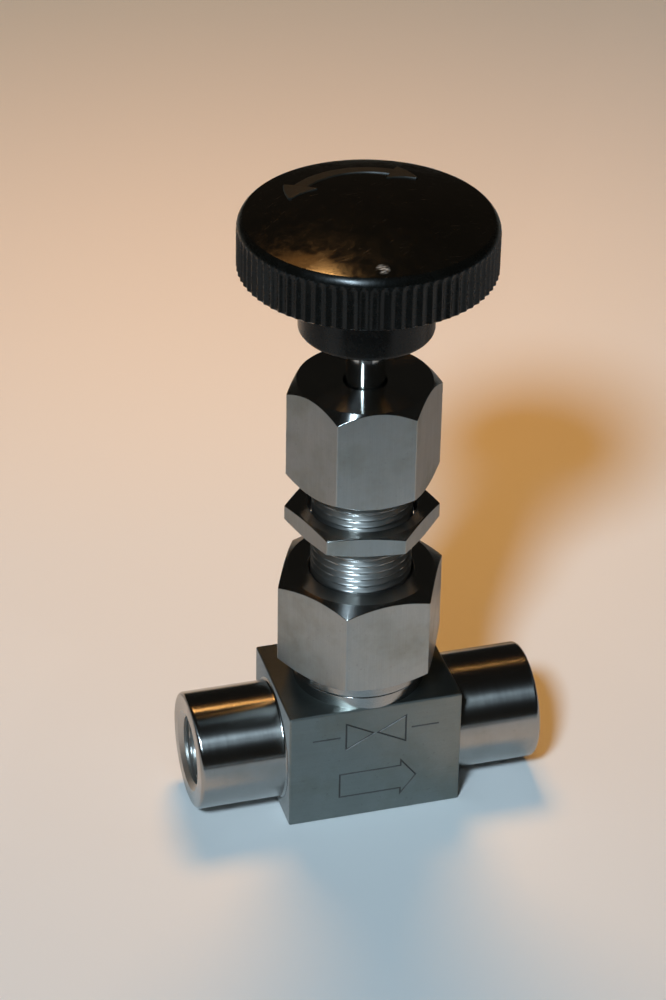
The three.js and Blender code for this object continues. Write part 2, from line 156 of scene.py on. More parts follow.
def outline(corners, count, steps, material=0):
    """Turns corners (radius, height, fillet, material) into rows of points with round corners.

    A radius may be one number, or one for each of the count angles. A corner may leave out
    its material, and its fillet too if it is sharp. Returns the points as [angle, row, 2]
    and the material of the strip that starts at each row.
    """
    total = len(corners)
    share_of_side = 0.48  # the most that one round corner may use up
    points = np.empty((count, total, 2))
    for index, corner in enumerate(corners):
        points[:, index, 0] = corner[0]
        points[:, index, 1] = corner[1]
    rows, materials = [], []
    for index, corner in enumerate(corners):
        here = points[:, index]
        fillet = corner[2] if len(corner) > 2 else 0
        strip = corner[3] if len(corner) > 3 else material
        if fillet == 0:
            rows.append(here)
            materials.append(strip)
            continue
        back = points[:, index - 1] - here
        ahead = points[:, (index + 1) % total] - here
        back_length = np.linalg.norm(back, axis=1, keepdims=True)
        ahead_length = np.linalg.norm(ahead, axis=1, keepdims=True)
        back /= np.maximum(back_length, 1e-9)
        ahead /= np.maximum(ahead_length, 1e-9)
        cosine = np.clip((back * ahead).sum(1, keepdims=True), -1, 1)
        half = np.maximum(np.arccos(cosine) / 2, 1e-4)
        shorter = np.minimum(back_length, ahead_length)
        reach = np.minimum(fillet / np.tan(half), share_of_side * shorter)
        for step in range(steps + 1):
            share = step / steps
            start, end = here + back * reach, here + ahead * reach
            # A weighted conic through both ends is a circular arc.
            weight = np.sin(half)
            a, b, c = (1 - share) ** 2, 2 * share * (1 - share) * weight, share**2
            rows.append((a * start + b * here + c * end) / (a + b + c))
            materials.append(strip)
    return np.stack(rows, axis=1), materials


def thread(angles, start, end, crest, root, pitch=FINE_PITCH, per_pitch=12, taper=0.0):
    """Corners along a right-hand screw thread from one height to another.

    The crest is outside the root on a screw, and inside it in a nut. The thread runs out
    over half a pitch at both ends. taper is the change of radius for each millimetre.
    """
    crest_share, flank_share = 0.08, 0.78
    count = max(4, round(abs(end - start) / pitch * per_pitch))
    rows = []
    for step in range(count + 1):
        height = start + (end - start) * step / count
        wave = np.abs(2 * ((height / pitch - angles / TURN) % 1) - 1)
        depth = np.clip((wave - crest_share) / flank_share, 0, 1)
        runout = 1 - min(1.0, abs(height - start) / (pitch / 2), abs(height - end) / (pitch / 2))
        depth = np.maximum(depth, runout)
        radius = crest + (root - crest) * depth + taper * (height - start)
        rows.append((radius, height))
    return rows


# ---- Meshes ----


def add_object(name, data):
    """Puts an object into the scene. Its origin is the frame's."""
    obj = bpy.data.objects.new(name, data)
    bpy.context.scene.collection.objects.link(obj)
    return obj


def make_object(name, points, faces, materials, face_materials=None):
    """A Blender object from points in millimetres."""
    mesh = bpy.data.meshes.new(name)
    mesh.from_pydata((np.asarray(points, float) * MM).tolist(), [], faces)
    for material in materials:
        mesh.materials.append(material)
    if face_materials is not None:
        mesh.polygons.foreach_set("material_index", np.asarray(face_materials, np.int32))
    mesh.validate()
    mesh.update()
    return add_object(name, mesh)


def cube(low, high):
    """An editable box between two corners given in millimetres."""
    work = bmesh.new()
    bmesh.ops.create_cube(work, size=1.0)
    for v in work.verts:
        corner = [low[i] if v.co[i] < 0 else high[i] for i in range(3)]
        v.co = Vector(corner) * MM
    return work


def object_from(work, name, materials):
    """Turns an editable mesh into an object."""
    mesh = bpy.data.meshes.new(name)
    work.to_mesh(mesh)
    work.free()
    for material in materials:
        mesh.materials.append(material)
    return add_object(name, mesh)


def swept_faces(count, size, closed=False):
    """Faces of a section of size points that is swept through count stations."""
    faces = []
    for k in range(count if closed else count - 1):
        here, there = k * size, (k + 1) % count * size
        for i in range(size):
            j = (i + 1) % size
            faces.append((here + i, here + j, there + j, there + i))
    if not closed:
        end = (count - 1) * size
        faces.append(tuple(reversed(range(size))))
        faces.append(tuple(range(end, end + size)))
    return faces


def revolve(name, angles, corners, materials, steps=4, place=None, material=0):
    """A closed piece whose outline goes round the Z axis, anticlockwise in (radius, height).

    An outline that starts on the axis also ends on it. place moves the finished piece, and
    material is the one that corners have when they name none.
    """
    count = len(angles)
    rows, row_materials = outline(corners, count, steps, material)
    height = rows.shape[1]
    x = rows[..., 0] * np.cos(angles)[:, None]
    y = rows[..., 0] * np.sin(angles)[:, None]
    points = np.stack([x, y, rows[..., 1]], axis=-1).reshape(-1, 3)
    on_axis = np.isscalar(corners[0][0]) and corners[0][0] == 0
    faces, face_materials = [], []
    first, stop, last = (1, height - 2, height - 1) if on_axis else (0, height, height)
    for k in range(count):
        here, there = k * height, (k + 1) % count * height
        for i in range(first, stop):
            j = (i + 1) % height
            faces.append((here + i, there + i, there + j, here + j))
            face_materials.append(row_materials[i])
        if on_axis:
            faces.append((0, there + 1, here + 1))
            face_materials.append(row_materials[0])
            faces.append((last, here + last - 1, there + last - 1))
            face_materials.append(row_materials[last - 1])
    obj = make_object(name, points, faces, materials, face_materials)
    drop_loose_points(obj)
    if place is not None:
        obj.data.transform(place)
    return obj


def drop_loose_points(obj):
    """Removes points that belong to no face, and closes up faces with no area."""
    work = bmesh.new()
    work.from_mesh(obj.data)
    loose = [v for v in work.verts if not v.link_faces]
    bmesh.ops.delete(work, geom=loose, context="VERTS")
    bmesh.ops.dissolve_degenerate(work, dist=1e-8, edges=work.edges)
    work.to_mesh(obj.data)
    work.free()


def face_outwards(obj):
    """Turns the faces of a closed mesh so that they all point out of it."""
    work = bmesh.new()
    work.from_mesh(obj.data)
    bmesh.ops.recalc_face_normals(work, faces=work.faces)
    work.to_mesh(obj.data)
    work.free()


def along_x(z, turn=0.0):
    """Lays a piece made round Z along +X at height z in millimetres, turned about Z in degrees."""
    lay = Matrix.Rotation(math.radians(90), 4, "Y")
    return Matrix.Rotation(math.radians(turn), 4, "Z") @ Matrix.Translation((0, 0, z * MM)) @ lay


JOIN, CUT = "UNION", "DIFFERENCE"


def combine(obj, other, operation):
    """Joins or cuts a piece with another, which is used up."""
    modifier = obj.modifiers.new(operation, "BOOLEAN")
    modifier.operation = operation
    modifier.solver = "EXACT"
    modifier.material_mode = "INDEX"
    modifier.object = other
    bpy.context.view_layer.update()
    evaluated = obj.evaluated_get(bpy.context.evaluated_depsgraph_get())
    mesh = bpy.data.meshes.new_from_object(evaluated)
    obj.modifiers.clear()
    obj.data = mesh
    bpy.data.objects.remove(other)


def rod_cutter(radius, bottom, top, materials, place, count=48, material=0):
    """A plain rod to cut with."""
    corners = [(0, bottom), (radius, bottom), (radius, top), (0, top)]
    return revolve("rod", circle(count), corners, materials, place=place, material=material)


def settle(obj, node, sharp=34.0):
    """Gives a finished piece its shading and its place in the frame."""
    obj.data.shade_smooth()
    obj.data.set_sharp_from_angle(angle=math.radians(sharp))
    normals = obj.modifiers.new("normals", "WEIGHTED_NORMAL")
    normals.keep_sharp = True
    normals.weight = 75
    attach(obj, BODY_OF[node])
    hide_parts(node)


# ---- Materials ----


class Shader:
    """A material built up node by node round one Principled shader."""

    def __init__(self, name):
        self.material = bpy.data.materials.new(name)
        self.material.use_nodes = True
        self.tree = self.material.node_tree
        self.surface = self.tree.nodes["Principled BSDF"]
        self.place = self.node("TexCoord").outputs["Object"]

    def put(self, socket, value):
        if isinstance(value, bpy.types.NodeSocket):
            self.tree.links.new(value, socket)
        else:
            socket.default_value = value

    def node(self, kind, inputs=None, **settings):
        made = self.tree.nodes.new("ShaderNode" + kind)
        for key, value in settings.items():
            setattr(made, key, value)
        for key, value in (inputs or {}).items():
            self.put(made.inputs[key], value)
        return made

    def set(self, **inputs):
        for key, value in inputs.items():
            self.put(self.surface.inputs[key.replace("_", " ")], value)

    def math(self, operation, a, b):
        return self.node("Math", {0: a, 1: b}, operation=operation).outputs[0]

    def remap(self, value, low, high, to_low=0.0, to_high=1.0):
        inputs = {0: value, 1: low, 2: high, 3: to_low, 4: to_high}
        return self.node("MapRange", inputs, clamp=True).outputs[0]

    def mix(self, share, a, b):
        inputs = {0: share, 6: as_colour(a), 7: as_colour(b)}
        return self.node("Mix", inputs, data_type="RGBA").outputs[2]

    def noise(self, vector, scale, detail=2.0, rough=0.5, w=None):
        settings = {"noise_dimensions": "4D" if w is not None else "3D"}
        inputs = {"Vector": vector, "Scale": scale, "Detail": detail, "Roughness": rough}
        if w is not None:
            inputs["W"] = w
        return self.node("TexNoise", inputs, **settings).outputs[0]

    def stretched(self, scale):
        return self.node("Mapping", {"Vector": self.place, "Scale": scale}).outputs[0]

    def bump(self, height, strength, distance):
        inputs = {"Height": height, "Strength": strength, "Distance": distance}
        self.put(self.surface.inputs["Normal"], self.node("Bump", inputs).outputs[0])

    def around(self, axis, centre=(0.0, 0.0, 0.0)):
        """Direction round an axis, distance from it, and height along it, in metres."""
        shifted = self.node("VectorMath", {0: self.place, 1: centre}, operation="SUBTRACT").outputs[0]
        parts = self.node("SeparateXYZ", {0: shifted}).outputs
        keep = {"X": (0.0, 1.0, 1.0), "Z": (1.0, 1.0, 0.0)}[axis]
        flat = self.node("VectorMath", {0: shifted, 1: keep}, operation="MULTIPLY").outputs[0]
        distance = self.node("VectorMath", {0: flat}, operation="LENGTH").outputs["Value"]
        direction = self.node("VectorMath", {0: flat}, operation="NORMALIZE").outputs[0]
        return direction, distance, parts[axis]


def as_colour(value):
    """Adds the fourth channel to a colour, and leaves a socket as it is."""
    return (*value, 1.0) if isinstance(value, tuple) and len(value) == 3 else value


def scaled(colour, factor):
    return tuple(channel * factor for channel in colour)


def finish_metal(shader, fine, coarse, colour, roughness, depth, stain=0.5, anisotropy=0.0, marks=0.35):
    """Colour, gloss and relief of a machined metal. fine and coarse are its tool marks."""
    lines = shader.math("ADD", shader.math("MULTIPLY", fine, 0.6), shader.math("MULTIPLY", coarse, 0.4))
    broad = shader.noise(shader.place, 160.0, detail=5.0, rough=0.65)
    cloud = shader.noise(shader.place, 95.0, detail=4.0, rough=0.6)
    grain = shader.noise(shader.place, 3500.0, detail=2.0)
    specks = shader.noise(shader.place, 1500.0, detail=1.0)
    mottled = shader.mix(shader.remap(broad, 0.35, 0.65), scaled(colour, 0.92), scaled(colour, 1.05))
    grained = shader.mix(shader.remap(grain, 0.35, 0.65, 0.0, 0.5), mottled, scaled(colour, 0.9))
    marked = shader.mix(shader.remap(lines, 0.3, 0.7, 0.0, marks), grained, scaled(colour, 0.82))
    dulled = shader.remap(cloud, 0.5, 0.68, 0.0, stain)
    tinted = shader.mix(dulled, marked, (colour[0] * 0.75, colour[1] * 0.72, colour[2] * 0.64))
    pitted = shader.mix(shader.remap(specks, 0.7, 0.78, 0.0, 0.25), tinted, scaled(colour, 0.45))
    shader.set(Base_Color=pitted, Metallic=1.0)
    gloss = shader.remap(lines, 0.25, 0.75, roughness * 0.85, roughness * 1.18)
    dull_spots = shader.remap(cloud, 0.5, 0.7, 0.0, roughness * 0.4 * stain)
    shader.set(Roughness=shader.math("ADD", gloss, dull_spots))
    shader.set(Anisotropic=anisotropy, Anisotropic_Rotation=0.25)
    height = shader.math("ADD", lines, shader.math("MULTIPLY", grain, 0.5))
    shader.bump(height, 0.3, depth * MM)
    return shader.material


def turned_metal(name, colour, roughness, axis="Z", centre=(0, 0, 0), depth=0.0012, **extra):
    """Steel or brass off a lathe: fine rings about its axis, and a highlight drawn out across them."""
    shader = Shader(name)
    direction, distance, along = shader.around(axis, centre)
    sweep = shader.math("SUBTRACT", distance, shader.math("MULTIPLY", along, 1.15))
    fine = shader.noise(direction, 1.6, 1.0, w=shader.math("MULTIPLY", sweep, 9000.0))
    coarse = shader.noise(direction, 0.8, 1.0, w=shader.math("MULTIPLY", sweep, 2400.0))
    tangent = shader.node("Tangent", direction_type="RADIAL", axis=axis)
    shader.put(shader.surface.inputs["Tangent"], tangent.outputs[0])
    return finish_metal(shader, fine, coarse, colour, roughness, depth, **extra)


def drawn_metal(name, colour, roughness, stretch, depth=0.004, **extra):
    """Bar or hexagon with marks drawn out one way. stretch scales the marks along X, Y and Z."""
    shader = Shader(name)
    fine = shader.noise(shader.stretched(stretch), 1.0, 2.0)
    coarse = shader.noise(shader.stretched(scaled(stretch, 0.22)), 1.0, 2.0)
    return finish_metal(shader, fine, coarse, colour, roughness, depth, **extra)


STEEL = (0.46, 0.455, 0.44)
NUT_STEEL = (0.425, 0.435, 0.425)
# The block's flat faces are about half as bright as the rest of the steel and tinted green: painted shade
# for the shaded floor they reflect.
SHADED_BAR_STEEL = (0.225, 0.245, 0.235)
PORT_CENTRE = (0.0, 0.0, PORT_HEIGHT * MM)

# Painted shade: the block's flat faces take the darker bar steel above.
BAR = drawn_metal("bar_steel", SHADED_BAR_STEEL, 0.36, (120.0, 9000.0, 9000.0))
BAR_TURNED = turned_metal(
    "bar_steel_ends", scaled(STEEL, 0.82), 0.2, "X", PORT_CENTRE, anisotropy=0.9, stain=0.4
)
BAR_CUT = turned_metal("bar_steel_cut", scaled(STEEL, 0.95), 0.75, "X", PORT_CENTRE, depth=0.006)
BAR_FACED = turned_metal("bar_steel_neck", scaled(STEEL, 0.9), 0.2, anisotropy=0.85, stain=0.2)
BAR_BORE = turned_metal("bar_steel_bore", STEEL, 0.34, "X", PORT_CENTRE)
ENGRAVED = drawn_metal("bar_steel_engraving", scaled(STEEL, 0.24), 0.62, (900.0, 900.0, 900.0))
NUT_FLATS = drawn_metal(
    "nut_steel_flats", NUT_STEEL, 0.35, (6000.0, 6000.0, 160.0), stain=0.8, marks=0.55
)
NUT_TURNED = turned_metal("nut_steel_turned", scaled(STEEL, 0.85), 0.19, anisotropy=0.97, stain=0.2)
# The nut bores are half as bright as the steel: painted shade inside the holes.
NUT_BORE = turned_metal("nut_steel_bore", scaled(STEEL, 0.5), 0.3)
BONNET_TURNED = turned_metal("turned_steel", STEEL, 0.33, anisotropy=0.3, stain=0.3)
POLISHED = turned_metal("polished_steel", scaled(STEEL, 1.25), 0.1, depth=0.0006, stain=0.1)
DULL = turned_metal("gasket_steel", scaled(STEEL, 0.75), 0.45, depth=0.006)
BRASS = turned_metal("brass", (0.62, 0.43, 0.17), 0.3, stain=0.4)
OXIDE = turned_metal("black_oxide", (0.03, 0.03, 0.034), 0.4, stain=0.2)


def black_phenolic(name, smooth, rough, index, tone=1.0):
    """Moulded black, hazed by handling: patches of polish and film, fine scratches and a pale scuff.

    smooth and rough are the roughness of the patches, and tone lightens the black.
    """
    darkest, lightest = (0.0018, 0.0017, 0.0012), (0.0045, 0.004, 0.003)
    scratch_grey, scuff_grey = (0.022, 0.02, 0.016), (0.45, 0.45, 0.43)
    shader = Shader(name)
    flow = shader.noise(shader.place, 90.0, 4.0, 0.6)
    film = shader.noise(shader.place, 420.0, 8.0, 0.78)
    grain = shader.noise(shader.place, 1900.0, 3.0)
    scratch = shader.noise(shader.stretched((300.0, 5200.0, 900.0)), 1.0, 2.0)
    scratched = shader.remap(scratch, 0.69, 0.74, 0.0, 0.35)
    turned = shader.node("Mapping", {"Vector": shader.place, "Rotation": (0.0, 0.0, 1.0)})
    crossing = shader.node("Mapping", {"Vector": turned.outputs[0], "Scale": (6400.0, 260.0, 900.0)})
    crossed = shader.remap(shader.noise(crossing.outputs[0], 1.0, 2.0), 0.69, 0.74, 0.0, 0.3)
    scratched = shader.math("MAXIMUM", scratched, crossed)
    scuff_place = tuple(MM * v for v in SCUFF)
    apart = shader.node("VectorMath", {0: shader.place, 1: scuff_place}, operation="DISTANCE")
    near = shader.remap(apart.outputs["Value"], 0.5 * MM, 1.2 * MM, 1.0, 0.0)
    flecks = shader.noise(shader.stretched((700.0, 3800.0, 2000.0)), 1.0, 4.0, 0.75)
    scuffed = shader.math("MULTIPLY", shader.remap(flecks, 0.47, 0.6), near)
    base = shader.mix(flow, scaled(darkest, tone), scaled(lightest, tone))
    worn = shader.mix(scratched, base, scratch_grey)
    shader.set(Base_Color=shader.mix(scuffed, worn, scuff_grey), IOR=index, Metallic=0.0)
    gloss = shader.remap(film, 0.4, 0.62, smooth, rough)
    shader.set(Roughness=shader.math("ADD", gloss, shader.math("MULTIPLY", scratched, 0.4)))
    shader.bump(shader.math("ADD", grain, flow), 0.1, 0.02 * MM)
    return shader.material


def white_packing():
    """Waxy white polymer with the faint rings of a cut face."""
    shader = Shader("white_packing")
    cloud = shader.noise(shader.place, 300.0, 3.0)
    base = shader.mix(cloud, (0.8, 0.79, 0.75), (0.88, 0.87, 0.84))
    shader.set(Base_Color=base, IOR=1.38, Subsurface_Weight=0.15)
    shader.set(Roughness=shader.remap(cloud, 0.3, 0.7, 0.42, 0.55))
    shader.surface.inputs["Subsurface Scale"].default_value = 0.4 * MM
    shader.bump(shader.noise(shader.place, 4000.0), 0.2, 0.01 * MM)
    return shader.material


KNOB_BLACKS = [
    black_phenolic("black_phenolic_satin", 0.22, 0.32, 1.34),
    black_phenolic("black_phenolic", 0.08, 0.24, 1.48),
    black_phenolic("black_phenolic_worn", 0.35, 0.5, 1.45, tone=4.5),
]
PACKING_WHITE = white_packing()

# ---- Valve body ----

# Faces are plain bar unless they are given one of the others.
BODY_METALS = [BAR, BAR_TURNED, BAR_FACED, ENGRAVED, BAR_BORE, BAR_CUT]
IS_END, IS_NECK, IS_MARK, IS_BORE, IS_CUT = range(1, 6)


def bar_block():
    """The square bar, with its edges rounded off and its sawn ends in their own metal."""
    half_width = box_mm("valve_body")[1][1]
    half_length, height = BLOCK["half_length"], BLOCK["height"]
    work = cube((-half_length, -half_width, 0.0), (half_length, half_width, height))
    width = BLOCK["bevel"] * MM
    bmesh.ops.bevel(work, geom=work.edges, offset=width, segments=3, profile=0.5, affect="EDGES")
    for face in work.faces:
        if abs(face.normal.x) > 0.95:
            face.material_index = IS_CUT
    return object_from(work, "valve_body_visual", BODY_METALS)


def round_ends():
    """Both turned ends in one piece, flared where they leave the block."""
    face = box_mm("valve_body")[1][0]
    shoulder = BLOCK["half_length"]
    flare = 0.45
    side = [
        (END_RADIUS, face, 0.7),
        (END_RADIUS, shoulder + flare, 0),
        (END_RADIUS + 0.06, shoulder + 0.2, 0),
        (END_RADIUS + 0.2, shoulder + 0.06, 0),
        (END_RADIUS + flare, shoulder - 0.02, 0),
        (END_RADIUS + flare + 0.05, shoulder - 0.3, 0),
    ]
    outer = [(radius, -x, fillet) for radius, x, fillet in side]
    corners = [(0, -face), *outer, *reversed(side), (0, face)]
    place = along_x(z=PORT_HEIGHT)
    return revolve("ends", circle(128), corners, BODY_METALS, place=place, material=IS_END)


def body_neck():
    """The turned shoulder on top of the block, and the threaded neck that the union nut takes."""
    angles = circle(128)
    top, inside = top_of("valve_body"), BLOCK["height"] - 1.5
    shoulder, shoulder_top = SHOULDER["radius"], SHOULDER["top"]
    crest, root = BODY_NECK["radius"], BODY_NECK["root"]
    corners = [
        (0, inside),
        (shoulder, inside),
        (shoulder, shoulder_top, 0.25),
        (root, shoulder_top, 0.15),
        *thread(angles, shoulder_top + 0.5, top - 0.5, crest, root, per_pitch=10),
        (root - 0.1, top, 0.1),
        (0, top),
    ]
    return revolve("neck", angles, corners, BODY_METALS, material=IS_NECK)


def port_cutter(side):
    """A tapered pipe thread, its countersunk mouth and the drill point behind it."""
    angles = circle(96)
    face, depth, drill_point = box_mm("valve_body")[1][0], PORT["depth"], 2.4
    start, mouth = face - depth, PORT["mouth"] + 0.15
    crest, root = PORT["thread"] - PORT["cut"] / 2, PORT["thread"] + PORT["cut"] / 2
    taper = (PORT["thread"] - PORT["end"]) / depth
    narrow = taper * depth
    pipe = {"pitch": PORT["pitch"], "per_pitch": 14, "taper": taper}
    corners = [
        (0, start - drill_point),
        (PORT["end"] - 0.6, start, 0.3),
        *thread(angles, start + 0.4, face - 0.75, root - narrow, crest - narrow, **pipe),
        (crest, face - 0.7),
        (mouth, face + 0.02),
        (mouth + 1.0, face + 1.0),
        (0, face + 1.0),
    ]
    place = along_x(z=PORT_HEIGHT, turn=0 if side > 0 else 180)
    return revolve("port", angles, corners, BODY_METALS, place=place, material=IS_BORE)


def body_bore():
    """The bore down the middle: inlet riser, seat, chamber and the bonnet's socket."""
    top = top_of("valve_body")
    bore, inlet, seat, chamber = FLOW["bore"], FLOW["inlet"], FLOW["seat"], FLOW["chamber"]
    corners = [
        (0, inlet),
        (bore, inlet),
        (bore, seat - 0.4),
        (bore + 0.4, seat),
        (chamber, seat, 0.2),
        (chamber, CHAMBER_TOP),
        (SPIGOT_BORE, CHAMBER_TOP, 0.2),
        (SPIGOT_BORE, top - 0.4),
        (SPIGOT_BORE + 0.8, top + 0.4),
        (0, top + 0.4),
    ]
    return revolve("bore", circle(64), corners, BODY_METALS, material=IS_BORE)


def groove(path, width, closed=True):
    """A cutter for a stamped line on the block's front face, along points (x, z).

    Its section is a shallow dish that widens where it stands proud of the face.
    """
    face = box_mm("valve_body")[0][1]
    depth, proud, spread = 0.1, 0.3, 0.1
    points = np.array(path, float)
    count = len(points)
    ahead = np.roll(points, -1, axis=0) - points
    if not closed:
        ahead[-1] = ahead[-2]
    ahead /= np.linalg.norm(ahead, axis=1, keepdims=True)
    behind = np.roll(ahead, 1, axis=0)
    if not closed:
        behind[0] = ahead[0]
    normals = np.stack([-ahead[:, 1], ahead[:, 0]], axis=1)
    before = np.stack([-behind[:, 1], behind[:, 0]], axis=1)
    mitre = normals + before
    mitre /= (mitre * normals).sum(1, keepdims=True)
    section = [
        (-0.5 * width - spread, face - proud),
        (0.5 * width + spread, face - proud),
        (0.5 * width, face),
        (0.2 * width, face + depth),
        (-0.2 * width, face + depth),
        (-0.5 * width, face),
    ]
    vertices = [
        (points[k, 0] + mitre[k, 0] * offset, y, points[k, 1] + mitre[k, 1] * offset)
        for k in range(count)
        for offset, y in section
    ]
    faces = swept_faces(count, len(section), closed)
    obj = make_object("groove", vertices, faces, BODY_METALS, [IS_MARK] * len(faces))
    face_outwards(obj)
    return obj


def flow_arrow():
    """Outline of the arrow that shows the direction of flow."""
    tail, neck, tip = -6.2, 4.5, 7.2
    middle, shaft, head = 6.7, 2.35, 3.5
    half = [(tail, shaft), (neck, shaft), (neck, head)]
    lower = [(x, middle - z) for x, z in half]
    upper = [(x, middle + z) for x, z in reversed(half)]
    return [*lower, (tip, middle), *upper]


def valve_symbol():
    """The drawing symbol of a valve: a bow tie between two lengths of pipe."""
    middle, half, reach, waist, pipe_end = 16.8, 2.6, 5.2, 0.35, 11.0
    low, high = middle - half, middle + half
    left = [(-reach, low), (-waist, middle), (-reach, high)]
    right = [(reach, low), (reach, high), (waist, middle)]
    inlet = [(-pipe_end, middle), (-reach - 1.0, middle)]
    outlet = [(reach + 1.0, middle), (pipe_end, middle)]
    return [left, right], [inlet, outlet]


def valve_body():
    """The block, its ends and neck joined, then bored, threaded and marked."""
    arrow_width, symbol_width = 0.28, 0.3
    body = bar_block()
    combine(body, round_ends(), JOIN)
    combine(body, body_neck(), JOIN)
    combine(body, body_bore(), CUT)
    for side in (-1, 1):
        combine(body, port_cutter(side), CUT)
    reach = box_mm("valve_body")[1][0] - PORT["depth"] - 1
    inlet = (-reach, FLOW["bore"] * 0.8, FLOW["inlet"])
    outlet = (0, reach, FLOW["outlet"])
    for start, end, height in (inlet, outlet):
        place = along_x(z=height)
        passage = rod_cutter(FLOW["bore"], start, end, BODY_METALS, place, material=IS_BORE)
        combine(body, passage, CUT)
    combine(body, groove(flow_arrow(), arrow_width), CUT)
    triangles, pipes = valve_symbol()
    for path in triangles:
        combine(body, groove(path, symbol_width), CUT)
    for path in pipes:
        combine(body, groove(path, symbol_width, closed=False), CUT)
    drop_loose_points(body)
    settle(body, "valve_body")


# ---- Bonnet and nuts ----


def bonnet():
    """The flanged tube with its threaded neck, and the cross holes for the guide pins."""
    angles = circle(120)
    crest, root, top = BONNET_NECK["crest"], BONNET_NECK["root"], BONNET_NECK["top"]
    bottom = bottom_of("bonnet")
    corners = [
        (GUIDE_BORE, bottom, 0.3),
        (SPIGOT_RADIUS, bottom, 0.5),
        (SPIGOT_RADIUS, FLANGE["bottom"], 0.3),
        (FLANGE["radius"], FLANGE["bottom"], 0.3),
        (FLANGE["radius"], FLANGE["top"], 0.4),
        (root, FLANGE["top"], 0.3),
        *thread(angles, FLANGE["top"] + 1.6, top - 0.7, crest, root),
        (root - 0.3, top, 0.15),
        (PACKING_BOX["radius"], top, 0.4),
        (PACKING_BOX["radius"], PACKING_BOX["floor"], 0.2),
        (STEM_HOLE, PACKING_BOX["floor"], 0.2),
        (STEM_HOLE, BACK_SEAT + 0.4, 0.1),
        (GUIDE_BORE, BACK_SEAT, 0.1),
    ]
    obj = revolve("bonnet_visual", angles, corners, [BONNET_TURNED], steps=3)
    reach = SPIGOT_RADIUS + 1
    pin_holes = rod_cutter(0.9, -reach, reach, [BONNET_TURNED], along_x(z=PIN_HEIGHT), count=24)
    combine(obj, pin_holes, CUT)
    settle(obj, "bonnet")


IS_FLAT, IS_TURNED, IS_NUT_BORE = range(3)


def hex_nut(node, bore, collar=0.0):
    """A hexagon nut with turned ends, as NUTS describes it.

    bore gives the corners down through the nut, from its top inner edge. A collar is a
    straight round foot of that height below the lower cone.
    """
    nut = NUTS[node]
    bottom, top = bottom_of(node), top_of(node)
    (bottom_face, bottom_slope), (top_face, top_slope) = nut["bottom"], nut["top"]
    angles, reach = hexagon(nut["flats"], nut["fillet"], nut["turn"])
    rise = (reach - bottom_face) * math.tan(math.radians(bottom_slope))
    drop = (reach - top_face) * math.tan(math.radians(top_slope))
    foot = [(bottom_face, bottom, 0.5, IS_TURNED)]
    corners = [
        *(foot if collar else []),
        (bottom_face, bottom + collar, 0.12, IS_TURNED),
        (reach, bottom + collar + rise, 0.16, IS_FLAT),
        (reach, top - drop, 0.16, IS_TURNED),
        (top_face, top, 0.15, IS_TURNED),
        *bore(angles, bottom, top),
    ]
    metals = [NUT_FLATS, NUT_TURNED, NUT_BORE]
    obj = revolve(f"{node}_visual", angles, corners, metals, steps=3, material=IS_NUT_BORE)
    settle(obj, node, sharp=50.0)


def union_bore(angles, bottom, top):
    """Through the lip that holds the flange, then down the thread."""
    hole, wide, lip, thread_top = 8.62, 10.95, 38.9, 34.5
    return [
        (hole, top, 0.35, IS_TURNED),
        (hole, lip, 0.2),
        (wide, lip, 0.3),
        *thread(angles, thread_top, bottom + 1.2, wide - 0.1, wide, per_pitch=8),
        (wide, bottom, 0.3),
    ]


def panel_bore(angles, bottom, top):
    """A thread from end to end."""
    crest, root = 8.52, 8.95
    return [
        (root, top, 0.1),
        *thread(angles, top - 0.35, bottom + 0.35, crest, root),
        (root, bottom, 0.1),
    ]


def packing_bore(angles, bottom, top):
    """Round the stem, out under the ceiling that presses the gland, then down the thread."""
    hole, wide, ceiling, thread_top = 3.5, 8.75, 74.2, 72.5
    return [
        (hole, top, 0.35, IS_TURNED),
        (hole, ceiling, 0.15),
        (wide + 0.2, ceiling, 0.3),
        *thread(angles, thread_top, bottom + 1.0, wide - 0.2, wide + 0.2, per_pitch=8),
        (wide + 0.3, bottom, 0.2),
    ]


# ---- Packing and needle ----


def turned_part(node, corners, material, facets=96):
    obj = revolve(f"{node}_visual", circle(facets), corners, [material])
    settle(obj, node)


def ring_corners(node, inner, fillet=0.15):
    """A flat ring that fills its CAD box down to an inner radius."""
    low, high = box_mm(node)
    outer = high[0]
    return [
        (inner, low[2], fillet),
        (outer, low[2], fillet),
        (outer, high[2], fillet),
        (inner, high[2], fillet),
    ]


def bonnet_gasket():
    corners = ring_corners("bonnet_gasket", 6.5, fillet=0.1)
    turned_part("bonnet_gasket", corners, DULL)


def packing_washer():
    corners = ring_corners("packing_washer", PACKING_INNER)
    turned_part("packing_washer", corners, BONNET_TURNED)


def packing_rings():
    """Three soft rings whose ridges nest in each other's hollows."""
    inner, outer, ridge = PACKING_INNER, PACKING_OUTER, 0.6
    middle = (inner + outer) / 2
    for node in ("packing_ring_lower", "packing_ring_middle", "packing_ring_upper"):
        bottom, top = bottom_of(node), top_of(node)
        corners = [
            (inner, bottom, 0.08),
            (middle, bottom + ridge, 0.2),
            (outer, bottom, 0.08),
            (outer, top - ridge, 0.12),
            (middle, top, 0.2),
            (inner, top - ridge, 0.12),
        ]
        turned_part(node, corners, PACKING_WHITE)


def packing_gland():
    low, high = box_mm("packing_gland")
    step = BONNET_NECK["top"] + 0.3
    corners = [
        (PACKING_INNER, low[2], 0.15),
        (PACKING_OUTER, low[2], 0.15),
        (PACKING_OUTER, step, 0.15),
        (high[0], step, 0.2),
        (high[0], high[2], 0.25),
        (PACKING_INNER, high[2], 0.3),
    ]
    turned_part("packing_gland", corners, BONNET_TURNED)


def guide_pins():
    inner, outer, radius = 3.2, 5.9, 0.8
    corners = [(0, inner), (radius, inner, 0.2), (radius, outer, 0.2), (0, outer)]
    for node, turn in (("guide_pin_outlet_side", 0), ("guide_pin_inlet_side", 180)):
        place = along_x(z=PIN_HEIGHT, turn=turn)
        obj = revolve(f"{node}_visual", circle(48), corners, [POLISHED], place=place)
        settle(obj, node)


